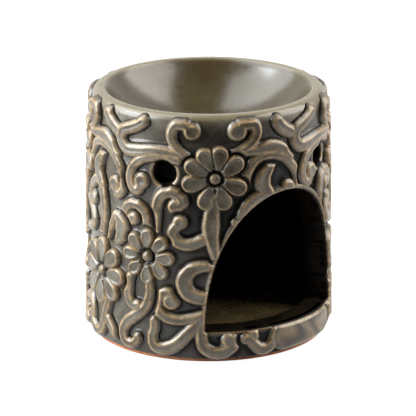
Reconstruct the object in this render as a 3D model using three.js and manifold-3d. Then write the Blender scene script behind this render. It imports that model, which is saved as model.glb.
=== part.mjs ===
// Ceramic wax melt burner: a tapered drum with an arched tealight window and round vents, a floor on a bare
// foot ring, a shallow melt dish luted on top, and daisies and scrolling vines sprigged round the wall.
// Millimetres, +Z up, origin on the table under the middle of the drum, window towards -Y.
import * as THREE from "three";
import { mergeVertices } from "three/addons/utils/BufferGeometryUtils.js";
import Module from "manifold-3d";

const wasm = await Module();
wasm.setup();
const { degToRad, lerp } = THREE.MathUtils;

// Driving dimensions of the drum
const HEIGHT = 90.5; // table to the rim
const BASE_RADIUS = 43.6; // outside of the wall at the table
const TOP_RADIUS = 41.9; // outside of the wall at the height of the rim
const WALL = 6; // thickness of the wall
const SLIP = 0.3; // layer of slip that lutes two pieces of clay together
const TURN_FACETS = 48; // facets round every turned piece

// The foot ring and the floor
const FOOT_HEIGHT = 1;
const FOOT_INSET = 0.9; // how far the foot ring stands in from the outside of the wall
const FLOOR_LEDGE = 2; // how far the floor's edge rests on the foot ring
const FOOT_BEVEL = 0.4;
const FLOOR_THICKNESS = 6.4;

// The melt dish and its rim
const RIM_WIDTH = 4.7; // outside of the wall to the inside edge of the rim
const DISH_DEPTH = 20;
const DISH_WALL = 5;
const RIM_ROUND = 2.8; // rounding of the rim's outer edge
const LIP_ROUND = 0.6; // rounding of the rim's inner edge
const BOWL_STEPS = 6;
const UNDERSIDE_STEPS = 3;
const RIM_STEPS = 2;

// The relief, the window and the vents are drawn on squared paper, on one panel that repeats round the wall.
// The squares stretch with the drum, and at these driving dimensions one square is a millimetre.
const DRAWING = { squaresAcross: 66.9, squaresUp: 90.5 }; // what one panel of the drawing spans
const PANELS = ["left_front", "right_front", "right_back", "left_back"];
const FIRST_PANEL_TURN = degToRad(-36.6); // first top daisy, from the window's middle
const WINDOW = { sill: 12, rise: 49, width: 60.8, power: 2.1 }; // a flat sill under half a superellipse
const VENT = { at: [-18.4, 69.3], radius: 4.2 };
const ARCH_STEPS = 24;
const SILL_STEPS = 6;
const VENT_FACETS = 12;
const RELIEF = 1.9; // thickness of a vine
const DAISY_RELIEF = 2.1;
const SPRIG_EDGE = 0.8; // how far a sprig's foot spreads past its back
const SPRIG_SQUASH = 0.45; // how far a vine spreads past its drawn width when it is pressed on the wall
const CRUMB_SHARE = 0.08; // a cut-off piece with less than this share of its sprig is wiped off the wall

const CLAY = 0xb5714a;
const GLAZE = 0x6f6a5c;

// Sizes that follow from the ones above
const panelTurn = (2 * Math.PI) / PANELS.length;
const sheetRadius = (BASE_RADIUS + TOP_RADIUS) / 2;
const sheetAcross = (panelTurn * sheetRadius) / DRAWING.squaresAcross;
const sheetUp = HEIGHT / DRAWING.squaresUp;
const sheetScale = (sheetAcross + sheetUp) / 2;
const boreRadius = Math.min(BASE_RADIUS, TOP_RADIUS) - WALL; // the chamber is bored straight
const lipRadius = TOP_RADIUS - RIM_WIDTH;
const bowlRadius = (lipRadius ** 2 + DISH_DEPTH ** 2) / (2 * DISH_DEPTH);
const bowlCentre = HEIGHT - DISH_DEPTH + bowlRadius;
const seatHeight = bowlCentre - Math.sqrt((bowlRadius + DISH_WALL) ** 2 - (boreRadius - SLIP) ** 2);
const wallFoot = FOOT_HEIGHT + SLIP;

// Outside of the wall and of the rim's rounding at a height
function outerRadius(z) {
  const straight = lerp(BASE_RADIUS, TOP_RADIUS, z / HEIGHT);
  const over = Math.min(z - (HEIGHT - RIM_ROUND), RIM_ROUND);
  return over > 0 ? straight - RIM_ROUND + Math.sqrt(RIM_ROUND ** 2 - over ** 2) : straight;
}

// A drawing point [across, up] as millimetres on the flat sheet
const onSheet = ([across, up]) => new THREE.Vector2(across * sheetAcross, up * sheetUp);

// A point at a distance from the drum's axis, turned from the window's middle
const roundDrum = (radius, angle, z) => [radius * Math.sin(angle), -radius * Math.cos(angle), z];

// A point of the sheet, lifted off the wall, rolled round the drum
const rolled = (x, z, lift, turn) => roundDrum(outerRadius(z) + SLIP + lift, turn + x / sheetRadius, z);

// Solids and meshes

function solidOf(geometry) {
  geometry.deleteAttribute("normal");
  geometry.deleteAttribute("uv");
  const merged = mergeVertices(geometry, 1e-4);
  return new wasm.Manifold(
    new wasm.Mesh({
      numProp: 3,
      vertProperties: merged.attributes.position.array,
      triVerts: new Uint32Array(merged.index.array),
    }),
  );
}

function geometryOf(solid) {
  const { vertProperties, triVerts } = solid.getMesh();
  const geometry = new THREE.BufferGeometry();
  geometry.setAttribute("position", new THREE.BufferAttribute(vertProperties, 3));
  geometry.setIndex(new THREE.BufferAttribute(triVerts, 1));
  return geometry;
}

function meshOf(name, solid, colour, roughness) {
  const material = new THREE.MeshStandardMaterial({ color: colour, roughness, metalness: 0 });
  const mesh = new THREE.Mesh(geometryOf(solid), material);
  mesh.name = name;
  return mesh;
}

// A solid of revolution about +Z from a profile of [radius, height] points
function turned(profile) {
  const points = profile.map(([r, z]) => new THREE.Vector2(Math.max(r, 0), z));
  const geometry = new THREE.LatheGeometry(points, TURN_FACETS);
  geometry.rotateX(Math.PI / 2);
  return solidOf(geometry);
}

// A closed skin over rings of equal count, each end closed flat or drawn in to a middle point
function lofted(rings, firstMiddle, lastMiddle) {
  const count = rings[0].length;
  const points = rings.flat();
  const index = [];
  for (let ring = 0; ring < rings.length - 1; ring++) {
    for (let k = 0; k < count; k++) {
      const [a, b] = [ring * count + k, ring * count + ((k + 1) % count)];
      index.push(a, a + count, b, b, a + count, b + count);
    }
  }
  const closeEnd = (start, middle, facing) => {
    const hub = middle ? points.push(middle) - 1 : start;
    for (let k = middle ? 0 : 1; k < (middle ? count : count - 1); k++) {
      const [a, b] = [start + k, start + ((k + 1) % count)];
      index.push(hub, ...(facing ? [a, b] : [b, a]));
    }
  };
  closeEnd(0, firstMiddle, true);
  closeEnd((rings.length - 1) * count, lastMiddle, false);
  const geometry = new THREE.BufferGeometry();
  geometry.setAttribute("position", new THREE.BufferAttribute(new Float32Array(points.flat()), 3));
  geometry.setIndex(index);
  return solidOf(geometry);
}

// Turned pieces

function footRing() {
  const outer = outerRadius(0) - FOOT_INSET;
  const inner = boreRadius - FLOOR_LEDGE;
  return turned([
    [inner, 0],
    [outer - FOOT_BEVEL, 0],
    [outer, FOOT_BEVEL],
    [outer, FOOT_HEIGHT],
    [inner, FOOT_HEIGHT],
    [inner, 0],
  ]);
}

function chamberFloor() {
  const radius = boreRadius - SLIP;
  return turned([
    [0, wallFoot],
    [radius, wallFoot],
    [radius, wallFoot + FLOOR_THICKNESS],
    [0, wallFoot + FLOOR_THICKNESS],
  ]);
}

function drumWall() {
  const top = seatHeight - SLIP;
  return turned([
    [boreRadius, wallFoot],
    [outerRadius(wallFoot) - FOOT_BEVEL, wallFoot],
    [outerRadius(wallFoot), wallFoot + FOOT_BEVEL],
    [outerRadius(top), top],
    [boreRadius, top],
    [boreRadius, wallFoot],
  ]);
}

// Outside of the dish from its seat on the wall up round the rim, grown outwards
function collarProfile(grow) {
  const middle = HEIGHT - RIM_ROUND;
  const inner = outerRadius(middle) - RIM_ROUND;
  const round = Array.from({ length: RIM_STEPS + 1 }, (_, i) => {
    const angle = (Math.PI / 2) * (i / RIM_STEPS);
    return [inner + (RIM_ROUND + grow) * Math.cos(angle), middle + (RIM_ROUND + grow) * Math.sin(angle)];
  });
  return [[outerRadius(seatHeight) + grow, seatHeight], ...round];
}

// The bowl is part of a sphere, inside and out; the collar under its rim stands on the wall.
function meltDish() {
  const bowl = (radius, from, to, steps) =>
    Array.from({ length: steps + 1 }, (_, i) => {
      const angle = lerp(from, to, i / steps);
      return [radius * Math.sin(angle), bowlCentre - radius * Math.cos(angle)];
    });
  const underside = bowlRadius + DISH_WALL;
  const lipAngle = Math.asin(lipRadius / bowlRadius);
  const seatAngle = Math.asin((boreRadius - SLIP) / underside);
  return turned([
    ...bowl(underside, 0, seatAngle, UNDERSIDE_STEPS),
    ...collarProfile(0),
    [lipRadius + LIP_ROUND, HEIGHT],
    ...bowl(bowlRadius, lipAngle - LIP_ROUND / bowlRadius, 0, BOWL_STEPS),
  ]);
}

// What a sprig that climbs on to the rim must leave free
function rimClearance() {
  const profile = collarProfile(SLIP);
  return turned([[0, seatHeight], ...profile, [0, profile.at(-1)[1]]]);
}

// Cutters

// The window is cut square to the wall, straight towards the drum's axis.
function windowCutter() {
  const power = 2 / WINDOW.power;
  const arch = Array.from({ length: ARCH_STEPS + 1 }, (_, i) => {
    const angle = (Math.PI * i) / ARCH_STEPS;
    const across = Math.sign(Math.cos(angle)) * Math.abs(Math.cos(angle)) ** power;
    return [(WINDOW.width / 2) * across, WINDOW.sill + WINDOW.rise * Math.abs(Math.sin(angle)) ** power];
  });
  const sill = Array.from({ length: SILL_STEPS - 1 }, (_, i) => {
    return [WINDOW.width * ((i + 1) / SILL_STEPS - 0.5), WINDOW.sill];
  });
  const outline = [...arch, ...sill].map(onSheet);
  const middle = onSheet([0, WINDOW.sill + WINDOW.rise / 2]);
  const at = (radius) => ({ x, y }) => roundDrum(radius, x / sheetRadius, y);
  const [inside, outside] = [at(boreRadius / 3), at(2 * BASE_RADIUS)];
  return lofted([outline.map(outside), outline.map(inside)], outside(middle), inside(middle));
}

function ventCutter(turn) {
  const place = onSheet(VENT.at);
  const geometry = new THREE.CylinderGeometry(VENT.radius, VENT.radius, 2 * BASE_RADIUS, VENT_FACETS);
  geometry.scale(sheetAcross, 1, sheetUp);
  geometry.translate(0, -BASE_RADIUS - boreRadius / 2, 0);
  geometry.rotateZ(turn + place.x / sheetRadius);
  geometry.translate(0, 0, place.y);
  return solidOf(geometry);
}

// Sprigs

// Steps along a curve that lie closer together where it bends
const STEP_LENGTH = 10;
const STEP_BEND = degToRad(66);
const FINE_STEPS = 160;

function walk(points) {
  const curve = new THREE.SplineCurve(points.map(onSheet));
  const fine = curve.getSpacedPoints(FINE_STEPS);
  const heading = (i) => fine[Math.min(i + 1, FINE_STEPS)].clone().sub(fine[Math.max(i - 1, 0)]);
  const cost = [0];
  for (let i = 1; i <= FINE_STEPS; i++) {
    const bend = Math.abs(heading(i - 1).cross(heading(i))) / (heading(i - 1).length() * heading(i).length());
    const length = fine[i].distanceTo(fine[i - 1]);
    cost.push(cost[i - 1] + length / STEP_LENGTH + Math.asin(Math.min(bend, 1)) / STEP_BEND);
  }
  const count = Math.max(3, Math.round(cost[FINE_STEPS]));
  return Array.from({ length: count + 1 }, (_, k) => {
    const i = cost.findIndex((c) => c >= (cost[FINE_STEPS] * k) / count - 1e-9);
    return { at: fine[i], along: heading(i).normalize(), share: i / FINE_STEPS };
  });
}

// How far a section may reach to one side before it meets the section beside it, inside a tight bend
function roomBeside(place, beside, side) {
  const sideways = ({ along }) => new THREE.Vector2(-along.y, along.x).multiplyScalar(side);
  const turning = sideways(place).cross(sideways(beside));
  const room = beside.at.clone().sub(place.at).cross(sideways(beside)) / turning;
  return room > 0 ? room : Infinity;
}

// Heights of a sprig's foot and back; each later layer of a spray lies a little lower.
const LAYER = 0.1;
const liftsOf = (layer, grow) => [layer * LAYER - grow / 2, RELIEF - layer * LAYER + grow];

// A vine: a flat-backed coil of clay pressed on the wall. Its widths are drawn at the start, the middle and the
// end, before it is pressed.
const END_SHRINK = 0.6;
const PINCH = 0.9; // share of the room inside a bend that a vine may fill

function vine({ path, widths }, layer, turn, grow) {
  const [from, middle, to] = widths;
  const [foot, crest] = liftsOf(layer, grow);
  const places = walk(path);
  const rings = places.map((place, i) => {
    const { at, along, share } = place;
    const isEnd = i === 0 || i === places.length - 1;
    const width = share < 0.5 ? lerp(from, middle, 2 * share) : lerp(middle, to, 2 * share - 1);
    const half = ((isEnd ? END_SHRINK : 1) * sheetScale * width) / 2 + SPRIG_SQUASH + grow;
    const reach = isEnd ? (i === 0 ? -grow : grow) : 0;
    const corner = (side, wanted, lift) => {
      const beside = [places[i - 1], places[i + 1]].filter(Boolean);
      const room = Math.min(...beside.map((next) => roomBeside(place, next, side)));
      const out = side * Math.min(wanted, PINCH * room);
      const [x, y] = [at.x + along.x * reach - along.y * out, at.y + along.y * reach + along.x * out];
      return rolled(x, y, lift, turn);
    };
    const back = Math.max(half - SPRIG_EDGE, half / 3);
    return [corner(-1, half, foot), corner(-1, back, crest), corner(1, back, crest), corner(1, half, foot)];
  });
  return lofted(rings);
}

// The round eye at the end of a scroll
const EYE_FACETS = 8;

function eye({ path, eyeWidth }, layer, turn, grow) {
  const { x, y } = onSheet(path.at(-1));
  const half = (sheetScale * eyeWidth) / 2 + SPRIG_SQUASH + grow;
  const [foot, crest] = liftsOf(layer, grow);
  const ringOf = (radius, lift) =>
    Array.from({ length: EYE_FACETS }, (_, k) => {
      const angle = (-2 * Math.PI * k) / EYE_FACETS;
      return rolled(x + radius * Math.cos(angle), y + radius * Math.sin(angle), lift, turn);
    });
  return lofted([ringOf(half, foot), ringOf(half - SPRIG_EDGE, crest)]);
}

// A daisy: petals in their own directions round a dished heart with a bead in it
const PETAL_STEPS = 4;
const NOTCH = 0.58; // radius between two petals, as a share of the petals' reach
const HEART = 0.24;
const DAISY_RINGS = [
  { out: 0.5, rise: 0 },
  { out: 1, rise: 0 },
  { out: 0.86, rise: 1 },
];

function daisy({ at, reach, petals }, turn, grow) {
  const spokes = petals.flatMap((heading, i) => {
    const before = (i === 0 ? petals.at(-1) - 360 : petals[i - 1]) / 2 + heading / 2;
    const after = (petals[i + 1] ?? petals[0] + 360) / 2 + heading / 2;
    return Array.from({ length: PETAL_STEPS }, (_, k) => {
      const share = (2 * k) / PETAL_STEPS - 1;
      const angle = degToRad(lerp(heading, share < 0 ? before : after, Math.abs(share)));
      const lobe = Math.abs(Math.cos((Math.PI / 2) * share)) ** 0.7;
      return { along: [Math.cos(angle), Math.sin(angle)], length: reach * lerp(NOTCH, 1, lobe) };
    });
  });
  spokes.reverse();
  const place = ([x, y], out, more, lift) => {
    const foot = onSheet([at[0] + out * x, at[1] + out * y]);
    return rolled(foot.x + more * x, foot.y + more * y, lift, turn);
  };
  const liftOf = (rise) => rise * DAISY_RELIEF + (rise === 0 ? -grow / 2 : grow);
  const rings = DAISY_RINGS.map(({ out, rise }) => {
    return spokes.map(({ along, length }) => place(along, out * length, out * grow, liftOf(rise)));
  });
  rings.push(spokes.map(({ along }) => place(along, HEART * reach, 0, liftOf(0.4))));
  return lofted(rings, place([0, 0], 0, 0, -grow / 2), place([0, 0], 0, 0, liftOf(1)));
}

// The drawing: every point is [across from the top daisy, up from the table]

const evenPetals = (count, first) => Array.from({ length: count }, (_, i) => first + (360 * i) / count);

const DAISIES = {
  top_daisy: { at: [0, 68.3], reach: 12.3, petals: [-71, -23, 36, 80, 114, 151, 193, 249] },
  middle_daisy: { at: [-24.2, 38.2], reach: 10.6, petals: evenPetals(8, 0) },
  low_daisy: { at: [-46.6, 27.8], reach: 13, petals: evenPetals(8, -2) },
};

const SPRAYS = {
  top_daisy: [
    { path: [[0, 62.6], [-1.3, 54], [-1.4, 48], [-0.7, 43.5], [0.5, 38.5]], widths: [3.2, 5.4, 2.2] },
    { path: [[-3.3, 46.6], [-6.7, 44.6], [-10.3, 43.9], [-13.5, 45.2], [-14.7, 48.4], [-12.2, 52]],
      widths: [3.6, 3.7, 3.4], eyeWidth: 4.6 },
  ],
  middle_daisy: [
    { path: [[-30.9, 31], [-32.1, 26], [-31.9, 21.6], [-29.7, 19], [-26.5, 19.6]], widths: [2.6, 3.4, 3.4] },
    { path: [[-23.9, 30.5], [-23.2, 25], [-24.7, 19.4], [-28.5, 15.6], [-32.3, 12.4], [-34.5, 8.4],
      [-33.5, 5], [-30.7, 4.3], [-28.4, 6.2], [-28, 8.8]], widths: [2.6, 4, 2.6] },
  ],
  low_daisy: [
    { path: [[-41.4, 19.8], [-43.6, 13.5], [-45.2, 8.5], [-47.2, 4.8], [-50.6, 4.2], [-53.2, 6.2],
      [-55, 8.4], [-57.8, 8.4]], widths: [3, 3.4, 3.2] },
    { path: [[-43.2, 12], [-40.6, 8], [-37.6, 4.8]], widths: [2.4, 3.2, 2.6] },
    { path: [[-53, 7.6], [-54.2, 12.8], [-57.2, 15.2], [-61.6, 13.2]], widths: [2.6, 3, 2.4] },
  ],
  crown_vine: [
    { path: [[-8.9, 75.6], [-12.9, 78.6], [-15.2, 82.4], [-14.7, 86.2], [-11.7, 88.2], [-8.1, 85.3]],
      widths: [2, 3.2, 3], eyeWidth: 5.4 },
    { path: [[-11.3, 76.6], [-16.3, 77.3], [-22.3, 77.4], [-28.3, 76.4], [-33, 76.2], [-35.9, 79.2],
      [-35.1, 82.6], [-31.2, 84.4], [-27.6, 86.2], [-25.1, 88.6]], widths: [2.6, 4.1, 3.6] },
    { path: [[-44, 88.8], [-43, 85.9], [-40.2, 83.5], [-36.6, 81.8]], widths: [4, 4.4, 3.6] },
    { path: [[-11.3, 74.4], [-16.3, 75], [-22.3, 75], [-27.3, 73.3], [-30.6, 70.2], [-31.9, 66.2],
      [-30.7, 62.6], [-28.2, 62], [-26.8, 65.6]], widths: [2.8, 3, 3], eyeWidth: 5.4 },
  ],
  arch_vine: [
    { path: [[4.3, 76.4], [8.7, 78], [12.7, 80.6], [14.9, 84.6], [13.6, 87.8], [10.2, 88.4], [7.8, 85.2]],
      widths: [2, 3.4, 3], eyeWidth: 6 },
    { path: [[9.2, 77.8], [14.3, 77.8], [19.2, 78.5], [23.7, 77.8], [27, 75.4], [29.4, 72.4]],
      widths: [2.2, 4.4, 2.8] },
    { path: [[10.6, 64.5], [11.3, 69.6], [14.5, 74.2], [19.7, 75.6], [25.3, 74], [29.7, 70], [32.3, 65],
      [31.7, 60.6], [29, 58.6], [27.6, 62.2]], widths: [2.6, 2.9, 2.8], eyeWidth: 5.4 },
  ],
  side_vine: [
    { path: [[-45.4, 73.4], [-47.6, 70.4], [-49.5, 67.6], [-49.6, 64.6], [-47.6, 61.4], [-46, 59]],
      widths: [1.8, 5.4, 3.4] },
    { path: [[-46.6, 41], [-45.4, 47], [-45.2, 53], [-46.6, 58.4], [-49.6, 61.2], [-53.6, 59.6],
      [-56.6, 56.4], [-57, 53], [-54.4, 52.8]], widths: [3, 3.2, 3.2], eyeWidth: 4.6 },
    { path: [[-61, 52.6], [-58.4, 51], [-55, 48], [-53.2, 44.6], [-55.8, 41.8], [-60.6, 41.2]],
      widths: [2.6, 3, 2.4] },
  ],
  leaf_pair: [
    { path: [[-38.2, 52.2], [-39.7, 48.4], [-41.5, 44.4], [-42.9, 40.8]], widths: [2.2, 2.6, 2.2] },
    { path: [[-38, 51.4], [-35.6, 48], [-35.4, 44.6], [-37.7, 40.6]], widths: [2.2, 6.2, 2.6] },
  ],
  left_scroll: [
    { path: [[-24.3, 45.5], [-24.2, 50], [-25.3, 54.4], [-28.9, 56.8], [-32.5, 55.6], [-33.9, 52.4],
      [-32.4, 50], [-30, 51.2]], widths: [2.8, 3.2, 3.2], eyeWidth: 4.2 },
  ],
  right_scroll: [
    { path: [[-21, 46.5], [-20.9, 52], [-20.6, 57.5], [-19.1, 61.2], [-15.9, 62.9], [-12.5, 61.8],
      [-11.2, 59.2], [-13.8, 57.7]], widths: [2.6, 3.6, 3.2], eyeWidth: 5 },
  ],
  window_scroll: [
    { path: [[0.2, 35.8], [-3.1, 36.2], [-6.9, 35.4], [-9.9, 32.9], [-10.7, 29.6], [-9.3, 26.2], [-6.1, 24.6],
      [-2.3, 24.2], [0.2, 24.4]], widths: [2.6, 5.9, 4.4] },
  ],
  foot_vine: [
    { path: [[1.7, 21], [-3.9, 18.2], [-8.3, 16.6], [-13.3, 15.8], [-17.7, 17], [-19.7, 20.6], [-18.7, 24.6],
      [-15.6, 26.2], [-13.4, 24.8], [-14.4, 22.8]], widths: [2.4, 3.6, 3.2], eyeWidth: 5.4 },
    { path: [[-3.9, 17.4], [-8.5, 12], [-13.5, 6.6], [-17.9, 4.6], [-21.3, 5.4], [-22.1, 8.8], [-21.3, 12.4],
      [-21.9, 16.4]], widths: [3.4, 4.2, 2.6] },
    { path: [[-4.7, 16], [-4.8, 10.5], [-3.9, 6.2], [-0.7, 4.2], [3.1, 4.3], [6.1, 6.4], [5, 8.4]],
      widths: [3.2, 3.7, 3.6], eyeWidth: 5.2 },
  ],
};

// The broad plain leaf along the window's sill, measured across from the window's middle
const SILL_LEAF = { path: [[-5.1, 7.6], [10, 7.6], [24, 7.6]], widths: [9.8, 9.8, 9.8] };

// Every stroke of a spray, fused, at its place on one panel
function sprig(name, turn, grow) {
  const parts = DAISIES[name] ? [daisy(DAISIES[name], turn, grow)] : [];
  SPRAYS[name].forEach((stroke, layer) => {
    parts.push(vine(stroke, layer, turn, grow));
    if (stroke.eyeWidth) parts.push(eye(stroke, layer, turn, grow));
  });
  return wasm.Manifold.union(parts);
}

// The whole burner

const burner = new THREE.Group();
const openings = [windowCutter()];
PANELS.forEach((_, i) => openings.push(ventCutter(FIRST_PANEL_TURN + i * panelTurn)));
const opening = wasm.Manifold.union(openings);

burner.add(meshOf("foot_ring", footRing(), CLAY, 0.9));
burner.add(meshOf("chamber_floor", chamberFloor(), GLAZE, 0.4));
burner.add(meshOf("drum_wall", drumWall().subtract(opening), GLAZE, 0.3));
burner.add(meshOf("melt_dish", meltDish(), GLAZE, 0.25));

// Sprigs go on daisies first, and each one leaves a line of slip to those already there.
const taken = [opening, rimClearance(), vine(SILL_LEAF, 0, 0, SLIP)];
const order = [...Object.keys(DAISIES), ...Object.keys(SPRAYS).filter((name) => !DAISIES[name])];
burner.add(meshOf("sill_leaf", vine(SILL_LEAF, 0, 0, 0).subtract(opening), GLAZE, 0.3));
for (const name of order) {
  const covered = wasm.Manifold.union(taken);
  PANELS.forEach((panel, i) => {
    const turn = FIRST_PANEL_TURN + i * panelTurn;
    const whole = sprig(name, turn, 0);
    const pieces = whole.subtract(covered).decompose().sort((a, b) => b.volume() - a.volume());
    const kept = pieces.filter((piece) => piece.volume() > CRUMB_SHARE * whole.volume());
    kept.forEach((piece, k) => {
      const label = k === 0 ? `${panel}_${name}` : `${panel}_${name}_tip_${k}`;
      burner.add(meshOf(label, piece, GLAZE, 0.3));
    });
    taken.push(sprig(name, turn, SLIP));
  });
}

export default burner;
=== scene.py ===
# Looks of the ceramic wax melt burner: a glazed skin over every piece of clay, with rounded edges, pooled
# grooves with painted shade in corners, on low flanks, on cut faces and inside, painted light on one side,
# and a glaze that breaks tan on edges. All sizes of the burner are in millimetres, +Z up, with the
# window towards -Y. The camera and the studio are in metres and degrees.
import math

import bmesh
import bpy
import numpy as np
from mathutils import Color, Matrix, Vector


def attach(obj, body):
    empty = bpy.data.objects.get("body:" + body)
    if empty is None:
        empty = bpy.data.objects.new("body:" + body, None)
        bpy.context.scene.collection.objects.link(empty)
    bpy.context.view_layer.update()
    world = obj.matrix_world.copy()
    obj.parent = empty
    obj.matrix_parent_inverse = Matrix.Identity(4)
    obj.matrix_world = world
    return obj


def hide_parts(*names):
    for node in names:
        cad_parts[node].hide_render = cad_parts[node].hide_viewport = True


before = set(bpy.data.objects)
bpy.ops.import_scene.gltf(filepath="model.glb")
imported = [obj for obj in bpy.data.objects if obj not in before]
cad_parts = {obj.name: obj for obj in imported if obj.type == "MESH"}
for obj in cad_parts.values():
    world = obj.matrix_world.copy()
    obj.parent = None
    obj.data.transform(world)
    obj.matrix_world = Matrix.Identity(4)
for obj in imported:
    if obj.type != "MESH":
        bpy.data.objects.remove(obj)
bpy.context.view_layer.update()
scene = bpy.context.scene
MM = 0.001

# Sizes of the drum, as in the part's source
HEIGHT = 90.5
BASE_RADIUS = 43.6
TOP_RADIUS = 41.9
WALL = 6
SLIP = 0.3
FOOT_HEIGHT = 1
FOOT_INSET = 0.9
FLOOR_LEDGE = 2
FLOOR_THICKNESS = 6.4
RIM_WIDTH = 4.7
DISH_DEPTH = 20
DISH_WALL = 5
RIM_ROUND = 2.8
LIP_ROUND = 0.6
SILL_HEIGHT = 12
WINDOW_WIDTH = 60.8  # measured along the wall
WINDOW_RISE = 49
WINDOW_POWER = 2.1
PANELS = ["left_front", "right_front", "right_back", "left_back"]
FIRST_TURN = math.radians(-36.6)
DRAWING_WIDTH = 66.9
VENT_AT = (-18.4, 69.3)
VENT_RADIUS = 4.2

PANEL_TURN = 2 * math.pi / len(PANELS)
TURNS = [FIRST_TURN + i * PANEL_TURN for i in range(len(PANELS))]
SHEET_RADIUS = (BASE_RADIUS + TOP_RADIUS) / 2
PANEL_WIDTH = PANEL_TURN * SHEET_RADIUS
ACROSS = PANEL_WIDTH / DRAWING_WIDTH
BORE_RADIUS = TOP_RADIUS - WALL
WINDOW_HALF = WINDOW_WIDTH / 2 * ACROSS
LIP_RADIUS = TOP_RADIUS - RIM_WIDTH
BOWL_RADIUS = (LIP_RADIUS**2 + DISH_DEPTH**2) / (2 * DISH_DEPTH)
BOWL_CENTRE = HEIGHT - DISH_DEPTH + BOWL_RADIUS
UNDERSIDE_RADIUS = BOWL_RADIUS + DISH_WALL
SEAT_HEIGHT = BOWL_CENTRE - math.sqrt(UNDERSIDE_RADIUS**2 - (BORE_RADIUS - SLIP) ** 2)
WALL_FOOT = FOOT_HEIGHT + SLIP
FLOOR_TOP = WALL_FOOT + FLOOR_THICKNESS

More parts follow.
